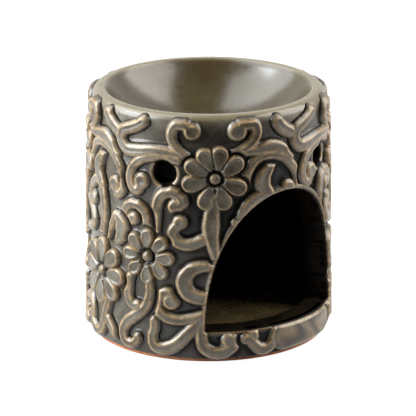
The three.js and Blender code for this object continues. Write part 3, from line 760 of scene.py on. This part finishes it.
def ringed(name, points):
    """A closed solid over rings of points, each joined to the next and the last to the first."""
    rows, columns = points.shape[:2]
    ring = np.arange(columns)
    after = (ring + 1) % columns
    base = np.arange(rows)[:, None] * columns
    above = (base + columns) % (rows * columns)
    quads = np.stack([base + ring, base + after, above + after, above + ring], axis=-1)
    return mesh_object(name, points.reshape(-1, 3), quads.reshape(-1, 4).tolist())


def revolved(outline, count):
    """Rings of points, in metres, from an outline of radius and height that runs against the clock."""
    outline = np.array(outline, float)
    angle = np.arange(count) * 2 * math.pi / count
    x = outline[:, :1] * np.sin(angle)
    y = -outline[:, :1] * np.cos(angle)
    return np.stack([x, y, np.repeat(outline[:, 1:], count, axis=1)], axis=-1) * MM


def arc(middle, radius, start, end, steps):
    """Points of an arc in radius and height; angles in degrees, 0 outwards and 90 up."""
    angles = np.radians(np.linspace(start, end, steps + 1))
    return [(middle[0] + radius * math.cos(a), middle[1] + radius * math.sin(a)) for a in angles]


def filled_corners(cells):
    """Cells, with those added that stop two others from touching at one corner only."""
    while True:
        a, b, c, d = cells[:-1, :-1], cells[:-1, 1:], cells[1:, :-1], cells[1:, 1:]
        rising = a & d & ~b & ~c
        falling = b & c & ~a & ~d
        if not (rising.any() or falling.any()):
            return cells
        cells = cells.copy()
        cells[:-1, 1:] |= rising
        cells[:-1, :-1] |= falling


def sprig_mesh(name, columns, height, turn):
    """A closed solid under a height field, with its edges and back sunk in the wall."""
    deep = height > -ROOT_DEPTH
    cells = filled_corners(deep[:-1, :-1] & deep[:-1, 1:] & deep[1:, :-1] & deep[1:, 1:])
    wide = len(columns)
    rows, spans = np.nonzero(cells)
    corner = rows * wide + spans
    corners = np.stack([corner, corner + 1, corner + wide + 1, corner + wide], axis=-1)
    used = np.unique(corners)
    number = np.full(height.size, -1)
    number[used] = np.arange(len(used))
    across = (columns * COLUMN)[used % wide]
    z = SHEET.up[used // wide]
    top = rolled(across, z, np.maximum(height.ravel()[used], -ROOT_DEPTH), turn)
    back = rolled(across, z, np.full(len(used), -ROOT_DEPTH - ROOT_BACK), turn)
    faces = number[corners]
    shift = len(used)
    padded = np.pad(cells, 1)
    beside = [padded[:-2, 1:-1], padded[1:-1, 2:], padded[2:, 1:-1], padded[1:-1, :-2]]
    sides = []
    for k, neighbour in enumerate(beside):
        open_side = ~neighbour[rows, spans]
        a = faces[open_side, k]
        b = faces[open_side, (k + 1) % 4]
        sides.append(np.stack([a + shift, b + shift, b, a], axis=-1))
    everything = np.vstack([faces, faces[:, ::-1] + shift, *sides])
    return mesh_object(name, np.vstack([top, back]), everything.tolist())


# Cutters, which are deleted once they have cut


def bar(name, outer, inner, hubs):
    """A closed solid between two rings of points, with a fan round a hub over each."""
    count = len(outer)
    front, back = 2 * count, 2 * count + 1
    faces = []
    for k in range(count):
        after = (k + 1) % count
        faces.append([after, k, k + count, after + count])
        faces.append([front, k, after])
        faces.append([back, after + count, k + count])
    return mesh_object(name, np.vstack([outer, inner, hubs]) * MM, faces)


def window_cutter():
    """A solid that widens from the drum's middle out through the window, so that its sides cut square."""
    outline = window_outline(CUTTER_STEPS)
    angle = outline[:, 0] / SHEET_RADIUS
    rings = []
    hubs = []
    for radius in (2 * BASE_RADIUS, BORE_RADIUS / 3):
        rings.append(np.column_stack([radius * np.sin(angle), -radius * np.cos(angle), outline[:, 1]]))
        hubs.append((0, -radius, SILL_HEIGHT + WINDOW_RISE / 2))
    return bar("window_cutter", *rings, hubs)


def vent_cutter(turn):
    """A round bar through the wall at a panel's vent."""
    middle = turn + VENT_AT[0] * ACROSS / SHEET_RADIUS
    out = np.array([math.sin(middle), -math.cos(middle), 0])
    aside = np.array([math.cos(middle), math.sin(middle), 0])
    up = np.array([0, 0, 1])
    angle = np.arange(VENT_SIDES)[:, None] * 2 * math.pi / VENT_SIDES
    circle = VENT_RADIUS * (aside * np.cos(angle) + up * np.sin(angle))
    hubs = [out * reach + up * VENT_AT[1] for reach in (BASE_RADIUS + CUT_PAST, BORE_RADIUS - CUT_PAST)]
    return bar("vent_cutter", *[circle + hub for hub in hubs], hubs)


# Materials


def joined(tree, kind, *sources):
    """A new node whose first inputs are linked to what other nodes make."""
    node = tree.nodes.new(kind)
    for socket, source in zip(node.inputs, sources):
        tree.links.new(source, socket)
    return node


class Nodes:
    """A material's node tree with short calls for what this script uses."""

    def __init__(self, name):
        self.material = bpy.data.materials.new(name)
        self.material.use_nodes = True
        self.tree = self.material.node_tree
        self.shader = self.tree.nodes["Principled BSDF"]
        self.place = self.tree.nodes.new("ShaderNodeTexCoord").outputs["Object"]

    def give(self, name, source):
        """Links one of the shader's inputs to what a node makes."""
        self.tree.links.new(source, self.shader.inputs[name])

    def noise(self, size, detail):
        """Noise with features of about size millimetres."""
        node = joined(self.tree, "ShaderNodeTexNoise", self.place)
        node.inputs["Scale"].default_value = 1 / (size * MM)
        node.inputs["Detail"].default_value = detail
        node.inputs["Roughness"].default_value = NOISE_ROUGHNESS
        return node.outputs["Fac"]

    def clouds(self, kind, thin=0.0, thick=1.0):
        """Cloudy values between thin and thick."""
        size, detail, low, high = kind
        return self.spread(self.noise(size, detail), low, high, thin, thick)

    def attribute(self, name):
        node = self.tree.nodes.new("ShaderNodeAttribute")
        node.attribute_name = name
        return node.outputs["Fac"]

    def spread(self, value, low, high, to_low=0.0, to_high=1.0):
        """A value between low and high, brought smoothly to the range from to_low to to_high."""
        node = joined(self.tree, "ShaderNodeMapRange", value)
        node.interpolation_type = "SMOOTHSTEP"
        for socket, number in zip(node.inputs[1:5], (low, high, to_low, to_high)):
            socket.default_value = number
        return node.outputs[0]

    def times(self, a, b):
        node = joined(self.tree, "ShaderNodeMath", a, b)
        node.operation = "MULTIPLY"
        node.use_clamp = True
        return node.outputs[0]

    def mix(self, share, a, b):
        """Two colours mixed, each one either written as on screen or made by a node."""
        node = self.tree.nodes.new("ShaderNodeMix")
        node.data_type = "RGBA"
        self.tree.links.new(share, node.inputs["Factor"])
        for socket, colour in ((node.inputs["A"], a), (node.inputs["B"], b)):
            if isinstance(colour, tuple):
                on_screen = Color([value / 255 for value in colour])
                socket.default_value = (*on_screen.from_srgb_to_scene_linear(), 1)
            else:
                self.tree.links.new(colour, socket)
        return node.outputs["Result"]

    def bump(self, height, strength, depth):
        node = self.tree.nodes.new("ShaderNodeBump")
        node.inputs["Strength"].default_value = strength
        node.inputs["Distance"].default_value = depth * MM
        self.tree.links.new(height, node.inputs["Height"])
        self.give("Normal", node.outputs["Normal"])


def glaze(name):
    """Reactive glaze: grey to olive in drifts, tan where it thins on edges, dark where it pools and where
    painted shade darkens corners, flanks, cut faces and the inside.
    """
    n = Nodes(name)
    pool_and_shade = n.attribute("pool_and_shade")
    bowl = n.attribute("bowl")
    painted_inside_shade = n.attribute("inside_shade")
    colour = n.mix(n.clouds(DRIFTS), GREY, OLIVE)
    # dark where the glaze pools and where painted shade darkens corners and low flanks
    colour = n.mix(n.spread(pool_and_shade, *POOL_LEVELS), colour, POOL_AND_SHADE)
    thick = n.times(pool_and_shade, n.clouds(POOL_CLOUDS, *POOL_UNEVEN))
    colour = n.mix(n.spread(thick, *DEEP_LEVELS), colour, DEEP)
    broken = n.times(n.attribute("broken"), n.clouds(BREAK_CLOUDS, *BREAK_UNEVEN))
    colour = n.mix(broken, colour, TAN)
    colour = n.mix(bowl, colour, n.mix(n.clouds(BOWL_CLOUDS), DISH_OLIVE, DISH_BROWN))
    colour = n.mix(n.attribute("rim"), colour, RIM_GREY)
    # painted shade: the inside and the cut faces go nearly black
    colour = n.mix(painted_inside_shade, colour, n.mix(n.clouds(CHAMBER_CLOUDS), CHAMBER_SHADE, CHAMBER_SHADE_PALE))
    floor = n.mix(n.clouds(CHAMBER_CLOUDS), FLOOR_OLIVE, FLOOR_BROWN)
    colour = n.mix(n.attribute("seat"), colour, floor)
    colour = n.mix(n.clouds(SPECKS, 0, SPECK_SHARE), colour, SPECK)
    n.give("Base Color", colour)
    satin = n.times(n.clouds(SATIN_CLOUDS, *SATIN), n.spread(bowl, 0, 1, 1, BOWL_SATIN))
    n.give("Roughness", satin)
    # painted shade also takes the shine off the inside and dims it where pool and shade are darkest
    shine = n.spread(painted_inside_shade, 0, 1, SHINE, CHAMBER_SHINE)
    n.give("Specular IOR Level", n.times(shine, n.spread(pool_and_shade, *DEEP_LEVELS, 1, DEEP_SHINE)))
    n.shader.inputs["IOR"].default_value = GLAZE_INDEX
    n.bump(n.noise(*GLAZE_SKIN), *GLAZE_BUMP)
    return n.material


def bare_clay(name):
    """Fired clay with no glaze: warm terracotta with grog."""
    n = Nodes(name)
    colour = n.mix(n.clouds(CLAY_CLOUDS), CLAY_LIGHT, CLAY_DARK)
    colour = n.mix(n.clouds(GROG_SPECKS, 0, GROG_SHARE), colour, GROG)
    n.give("Base Color", colour)
    n.give("Roughness", n.clouds(CLAY_SATIN_CLOUDS, *CLAY_SATIN))
    n.bump(n.noise(*CLAY_SKIN), *CLAY_BUMP)
    return n.material


GLAZE = glaze("reactive_glaze")
CLAY = bare_clay("bare_clay")


def dress(obj, crease, material, slot, *nodes):
    """Shades a piece, gives it its glaze or clay, hangs it under the root and hides the part it stands in
    for.
    """
    obj.data.shade_smooth()
    obj.data.set_sharp_from_angle(angle=math.radians(crease))
    obj.data.materials.clear()
    obj.data.materials.append(material)
    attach(obj, "root")
    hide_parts(*nodes)


# The sprigs


def sprig(panel, name, turn, columns, strokes, window):
    """One spray of one panel, cut by the window where they meet."""
    node = f"{panel}_{name}"
    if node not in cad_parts:
        return
    across, z = sheet_grid(columns)
    taken = np.minimum(SHEET.over(columns), vent_distance(across, z))
    for other in DAISIES:
        if other != name:
            taken = np.minimum(taken, DAISY_SHEETS[other].over(columns))
    from_leaf = leaf_distance(across, z, turn)
    if name not in ON_THE_LEAF:
        taken = np.minimum(taken, from_leaf)
    height, broken = daisy_fields(name, columns)
    vine_height, vine_broken = vine_fields(strokes, GROOVE - taken)
    broken = np.where(vine_height > height, vine_broken, broken)
    from_window = window_distance(across, z, turn)
    lift = into_border(np.maximum(height, vine_height), from_window, z)
    lift = np.where(z < HEIGHT - RIM_CLEAR, lift, np.minimum(lift, -ROOT_DEPTH))
    lift = lift - UNDER_LEAF * smooth(-from_leaf, *LEAF_LAP)
    broken = np.maximum(broken, edge_glaze(from_window))
    obj = sprig_mesh(f"{node}_glazed", columns, lift, turn)
    if (from_window[lift > 0] < JAMB_NEAR).any():
        cut(obj, window)
        drop_crumbs(obj.data)
    paint_sprig(obj, columns, lift, broken, turn)
    dress(obj, SPRIG_CREASE, GLAZE, "wall_glaze", node)


def paint_sprig(obj, columns, lift, broken, turn):
    """Marks where the glaze breaks and pools on a sprig, with painted shade low on its flanks and on its
    cut faces.
    """
    across, z, raised = sheet_place(points_of(obj.data), turn)
    surface = read_grid(lift, columns, across, z)
    on_top = raised > surface - SKIN
    set_values(obj.data, "broken", np.where(on_top, read_grid(broken, columns, across, z), FLANK_TAN))
    # pooled glaze and painted shade low on the flanks
    set_values(obj.data, "pool_and_shade", flank_pool_and_shade(raised))
    # painted shade on the faces the window cut
    set_values(obj.data, "inside_shade", cut_face_shade(window_distance(across, z, turn)))


def make_sprigs(window):
    """All the sprays of all the panels; each keeps clear of the daisies and of those made before it."""
    for name, daisy in DAISIES.items():
        columns = spray_columns(name)
        outline, _, _ = daisy_distances(daisy, columns * COLUMN, SHEET.up)
        DAISY_SHEETS[name].take(columns, outline)
    order = [*DAISIES, *[name for name in SPRAYS if name not in DAISIES]]
    for name in order:
        columns = spray_columns(name)
        strokes = [vine_distance(stroke, columns * COLUMN, SHEET.up) for stroke in SPRAYS[name]]
        for panel, turn in zip(PANELS, TURNS):
            sprig(panel, name, turn, columns, strokes, window)
        SHEET.take(columns, np.min(strokes, axis=0))
    for daisy in DAISY_SHEETS.values():
        SHEET.take(np.arange(COLUMNS), daisy.taken)


def make_sill_leaf(window):
    half = int(WINDOW_HALF / COLUMN)
    columns = np.arange(-half - LEAF_MARGIN, half + LEAF_MARGIN)
    across, z = sheet_grid(columns)
    from_window = window_distance(across, z, 0)
    lift = into_border(profile(-leaf_distance(across, z, 0), LEAF_RISE, 0), from_window, z)
    obj = sprig_mesh("sill_leaf_glazed", columns, lift, 0)
    cut(obj, window)
    thin = LEAF_TAN * (1 - leaf_clouds(across, z))
    paint_sprig(obj, columns, lift, np.maximum(edge_glaze(from_window), thin), 0)
    across, z, raised = sheet_place(points_of(obj.data), 0)
    # pooled glaze and painted shade low on the leaf's flanks, with clouds of thicker glaze
    set_values(obj.data, "pool_and_shade", np.maximum(flank_pool_and_shade(raised), LEAF_POOL * leaf_clouds(across, z)))
    dress(obj, SPRIG_CREASE, GLAZE, "wall_glaze", "sill_leaf")


# The drum, the dish, the floor and the foot


def make_wall(window):
    """The wall's outside follows the fillets round the sprigs; its inside is bored straight."""
    angle = np.arange(WALL_COLUMNS) * 2 * math.pi / WALL_COLUMNS
    heights = np.linspace(WALL_FOOT, SEAT_HEIGHT, WALL_ROWS)
    across, z = np.meshgrid((angle - FIRST_TURN) * SHEET_RADIUS, heights)
    outside = rolled(across, z, wall_lift(across, z), FIRST_TURN)
    bore = [(BORE_RADIUS, up) for up in np.linspace(SEAT_HEIGHT, WALL_FOOT, BORE_ROWS)]
    obj = ringed("drum_wall_glazed", np.concatenate([outside, revolved(bore, WALL_COLUMNS)]))
    vents = [vent_cutter(turn) for turn in TURNS]
    cut(obj, window, *vents)
    for vent in vents:
        bpy.data.objects.remove(vent)
    paint_wall(obj)
    dress(obj, WALL_CREASE, GLAZE, "wall_glaze", "drum_wall")


def wall_distances(across, z):
    """Distances from points of the wall to the nearest sprig, to the window and to the nearest vent."""
    from_sprig = np.minimum(SHEET.at(across, z), leaf_distance(across, z, FIRST_TURN))
    return from_sprig, window_distance(across, z, FIRST_TURN), vent_distance(across, z)


def wall_lift(across, z):
    """How far the wall's outside stands off the plain cone; the lowest row is set in."""
    from_sprig, from_window, from_vent = wall_distances(across, z)
    above_foot = smooth(z, WALL_FOOT, GROUND_FOOT)
    below_seat = 1 - smooth(z, SEAT_HEIGHT - GROUND_TOP[0], SEAT_HEIGHT - GROUND_TOP[1])
    sink = GROUND_SINK * above_foot * below_seat
    lift = FILLET - (FILLET + sink) * smooth(from_sprig, 0, FILLET_WIDTH)
    lift = np.maximum(lift, border(from_window, z) * above_foot)
    lift = lift - round_off(np.maximum(np.minimum(from_window, from_vent), 0))
    lift[0] -= FOOT_ROUND
    return lift


def paint_wall(obj):
    """Marks the glaze's breaks and pools on the wall, painted shade by sprigs, on cut faces and inside, and
    painted light on one side.
    """
    across, z, lift = sheet_place(points_of(obj.data), FIRST_TURN)
    from_sprig, from_window, from_vent = wall_distances(across, z)
    from_edge = np.minimum(np.abs(from_window), np.abs(from_vent))
    outside = lift > -OUTER_SKIN
    set_values(obj.data, "broken", np.where(outside, edge_glaze(from_edge), 0))
    # pooled glaze and painted shade, darkest close to a sprig
    ground_pool_and_shade = WALL_POOL + (1 - WALL_POOL) * np.exp(-np.maximum(from_sprig, 0) / POOL_AND_SHADE_REACH)
    ground_pool_and_shade = ground_pool_and_shade * (1 - SEAT_LOSS * smooth(z, SEAT_HEIGHT - SEAT_REACH, SEAT_HEIGHT))
    # painted light: less dark on the side towards the left softbox
    ground_pool_and_shade = ground_pool_and_shade * (1 - LIT_SIDE_LOSS * lit_side_share(across / SHEET_RADIUS + FIRST_TURN))
    set_values(obj.data, "pool_and_shade", np.where(outside, ground_pool_and_shade * smooth(from_edge, *EDGE_POOL), BORE_POOL))
    # painted shade on the cut faces and the bore
    set_values(obj.data, "inside_shade", np.maximum(cut_face_shade(from_edge), np.where(outside, 0, 1)))


def make_dish():
    """A bowl that is part of a sphere, with a rounded rim and a collar that stands on the wall."""
    rim_foot = HEIGHT - RIM_ROUND
    rim_middle = (float(outer_radius(rim_foot)) - RIM_ROUND, rim_foot)
    lip_middle = (LIP_RADIUS + LIP_ROUND, HEIGHT - LIP_ROUND)
    lip_angle = math.degrees(math.asin(LIP_RADIUS / BOWL_RADIUS)) - 90
    seat_angle = math.degrees(math.asin((BORE_RADIUS - SLIP) / UNDERSIDE_RADIUS)) - 90
    outline = [
        *[(float(outer_radius(z)), z) for z in np.linspace(SEAT_HEIGHT, rim_foot, COLLAR_STEPS)[:-1]],
        *arc(rim_middle, RIM_ROUND, 0, 90, RIM_STEPS),
        *arc(lip_middle, LIP_ROUND, 90, LIP_END, LIP_STEPS),
        *arc((0, BOWL_CENTRE), BOWL_RADIUS, lip_angle - LIP_SHARE, BOWL_FOOT, BOWL_STEPS),
        *arc((0, BOWL_CENTRE), UNDERSIDE_RADIUS, BOWL_FOOT, seat_angle, UNDERSIDE_STEPS),
    ]
    obj = ringed("melt_dish_glazed", revolved(outline, DISH_COLUMNS))
    paint_dish(obj.data)
    dress(obj, WALL_CREASE, GLAZE, "dish_glaze", "melt_dish")


def paint_dish(mesh):
    """Marks the bowl, the rim, the glaze that pools on the collar, lighter on one side as painted light,
    and the underside painted dark as shade.
    """
    points = points_of(mesh)
    radius = np.hypot(points[:, 0], points[:, 1])
    z = points[:, 2]
    on_bowl = np.abs(np.hypot(radius, z - BOWL_CENTRE) - BOWL_RADIUS) < LIP_BLEND
    set_values(mesh, "bowl", np.where(on_bowl & (radius < LIP_RADIUS + BOWL_EDGE), 1, 0))
    past_lip = smooth(radius, LIP_RADIUS - LIP_BLEND, LIP_RADIUS + LIP_BLEND)
    on_top = smooth(z, HEIGHT - RIM_BLEND[0], HEIGHT - RIM_BLEND[1])
    set_values(mesh, "rim", RIM_SHARE * past_lip * on_top)
    # painted shade: the underside inside the drum is painted dark
    set_values(mesh, "inside_shade", np.where(on_bowl | (z > SEAT_HEIGHT - UNDER_SEAT), 0, 1))
    collar = 1 - smooth(z, HEIGHT - COLLAR_BLEND[0], HEIGHT - COLLAR_BLEND[1])
    # painted light: the collar is less dark on the side towards the left softbox
    thin = lit_side_share(np.arctan2(points[:, 0], -points[:, 1]))
    set_values(mesh, "pool_and_shade", RIM_POOL + COLLAR_POOL * collar * (1 - COLLAR_LIT_LOSS * thin))


def make_floor():
    radius = BORE_RADIUS - SLIP
    rings = [(r, FLOOR_TOP) for r in np.linspace(radius - FLOOR_BEVEL, HUB, FLOOR_RINGS)]
    outline = [(HUB, WALL_FOOT), (radius, WALL_FOOT), (radius, FLOOR_TOP - FLOOR_BEVEL), *rings]
    obj = ringed("chamber_floor_glazed", revolved(outline, FLOOR_COLUMNS))
    set_values(obj.data, "seat", np.ones(len(obj.data.vertices)))
    dress(obj, FLOOR_CREASE, GLAZE, "chamber_glaze", "chamber_floor")


def make_foot():
    outer = BASE_RADIUS - FOOT_INSET
    inner = BORE_RADIUS - FLOOR_LEDGE
    heel = arc((outer - HEEL_ROUND, HEEL_ROUND), HEEL_ROUND, -90, 0, HEEL_STEPS)
    toe = arc((inner + TOE_ROUND, TOE_ROUND), TOE_ROUND, 180, 270, TOE_STEPS)
    outline = [*heel, (outer, WALL_FOOT), (inner, WALL_FOOT), *toe]
    obj = ringed("foot_ring_clay", revolved(outline, FOOT_COLUMNS))
    dress(obj, FLOOR_CREASE, CLAY, "bare_clay", "foot_ring")


# Camera, floor and lights


def direction(turn, rise):
    """The way to a place at a turn from the window's side and a rise above the table."""
    a, e = math.radians(turn), math.radians(rise)
    return Vector((math.sin(a) * math.cos(e), -math.cos(a) * math.cos(e), math.sin(e)))


def face(obj, place, towards, axis):
    """Puts an object in its place, with one of its axes along a direction."""
    obj.location = place
    obj.rotation_mode = "QUATERNION"
    obj.rotation_quaternion = towards.to_track_quat(axis, "Y")


def place_camera():
    data = bpy.data.cameras.new("camera")
    data.sensor_width = SENSOR
    data.lens = FOCAL_PIXELS * SENSOR / IMAGE
    data.shift_x = (IMAGE / 2 - AIM_PIXEL[0]) / IMAGE
    data.shift_y = (AIM_PIXEL[1] - IMAGE / 2) / IMAGE
    data.clip_start, data.clip_end = CLIP
    camera = bpy.data.objects.new("camera", data)
    back = direction(CAMERA_TURN, CAMERA_RISE)
    face(camera, AIM + back * CAMERA_DISTANCE, -back, "-Z")
    scene.collection.objects.link(camera)
    scene.camera = camera


def softbox(name, turn, rise, size, power, colour):
    """An area lamp that faces the object, from a turn and a rise seen from the camera's side."""
    data = bpy.data.lights.new(name, "AREA")
    data.shape = "RECTANGLE"
    data.size, data.size_y = size
    data.energy = power
    data.color = colour
    lamp = bpy.data.objects.new(name, data)
    back = direction(CAMERA_TURN + turn, rise)
    face(lamp, AIM + back * LAMP_DISTANCE, -back, "-Z")
    scene.collection.objects.link(lamp)


def seen_directly(tree):
    """1 for rays from the camera, and for those that a glossy or clear surface sends on."""
    path = tree.nodes.new("ShaderNodeLightPath")
    total = path.outputs["Is Camera Ray"]
    for name in ("Is Glossy Ray", "Is Transmission Ray"):
        node = joined(tree, "ShaderNodeMath", total, path.outputs[name])
        node.operation = "MAXIMUM"
        total = node.outputs[0]
    return total


def make_world():
    """A dim room for the light, white where it is seen."""
    world = bpy.data.worlds.new("studio")
    scene.world = world
    world.use_nodes = True
    tree = world.node_tree
    room = tree.nodes["Background"]
    room.inputs["Color"].default_value = WHITE
    room.inputs["Strength"].default_value = ROOM_LIGHT
    white = tree.nodes.new("ShaderNodeBackground")
    white.inputs["Color"].default_value = WHITE
    mix = joined(tree, "ShaderNodeMixShader", seen_directly(tree), room.outputs[0], white.outputs[0])
    tree.links.new(mix.outputs[0], tree.nodes["World Output"].inputs["Surface"])


def square(name, half):
    corners = [(-half, -half, 0), (half, -half, 0), (half, half, 0), (-half, half, 0)]
    return mesh_object(name, corners, [[0, 1, 2, 3]])


def make_ground():
    """A white floor that keeps the shadow: part of its white is lit, part is its own."""
    ground = square("floor", FLOOR_HALF)
    material = bpy.data.materials.new("white_floor")
    material.use_nodes = True
    tree = material.node_tree
    lit = tree.nodes["Principled BSDF"]
    lit.inputs["Base Color"].default_value = FLOOR_LIT
    lit.inputs["Roughness"].default_value = FLOOR_ROUGHNESS
    lit.inputs["Specular IOR Level"].default_value = 0
    glow = tree.nodes.new("ShaderNodeEmission")
    glow.inputs["Color"].default_value = WHITE
    strength = joined(tree, "ShaderNodeMath", seen_directly(tree))
    strength.operation = "MULTIPLY"
    strength.inputs[1].default_value = FLOOR_GLOW
    tree.links.new(strength.outputs[0], glow.inputs["Strength"])
    both = joined(tree, "ShaderNodeAddShader", lit.outputs[0], glow.outputs[0])
    tree.links.new(both.outputs[0], tree.nodes["Material Output"].inputs["Surface"])
    ground.data.materials.append(material)


def dark_card(name, placing, facing):
    """A square of dark cloth that shows only in the glaze, as a dark studio does."""
    out, high, half = placing
    card = square(name, half)
    face(card, direction(CAMERA_TURN, 0) * out + Vector((0, 0, high)), facing, "Z")
    card.visible_camera = False
    card.visible_diffuse = False
    card.visible_shadow = False
    material = bpy.data.materials.new(name)
    material.use_nodes = True
    cloth = material.node_tree.nodes["Principled BSDF"]
    cloth.inputs["Base Color"].default_value = CLOTH
    cloth.inputs["Roughness"].default_value = 1
    card.data.materials.append(material)


def make_cards():
    """Cloth behind the camera, on the table before the burner and overhead."""
    up = Vector((0, 0, 1))
    towards_camera = direction(CAMERA_TURN, 0)
    dark_card("dark_back", BACK_CARD, -towards_camera)
    dark_card("dark_front", FRONT_CARD, up + towards_camera * FRONT_LEAN)
    dark_card("dark_ceiling", CEILING_CARD, -up)


window = window_cutter()
make_sprigs(window)
make_sill_leaf(window)
make_wall(window)
bpy.data.objects.remove(window)
make_dish()
make_floor()
make_foot()
place_camera()
make_world()
make_ground()
for lamp_name, lamp in SOFTBOXES.items():
    softbox(lamp_name, *lamp)
make_cards()

scene.view_settings.view_transform = "Standard"
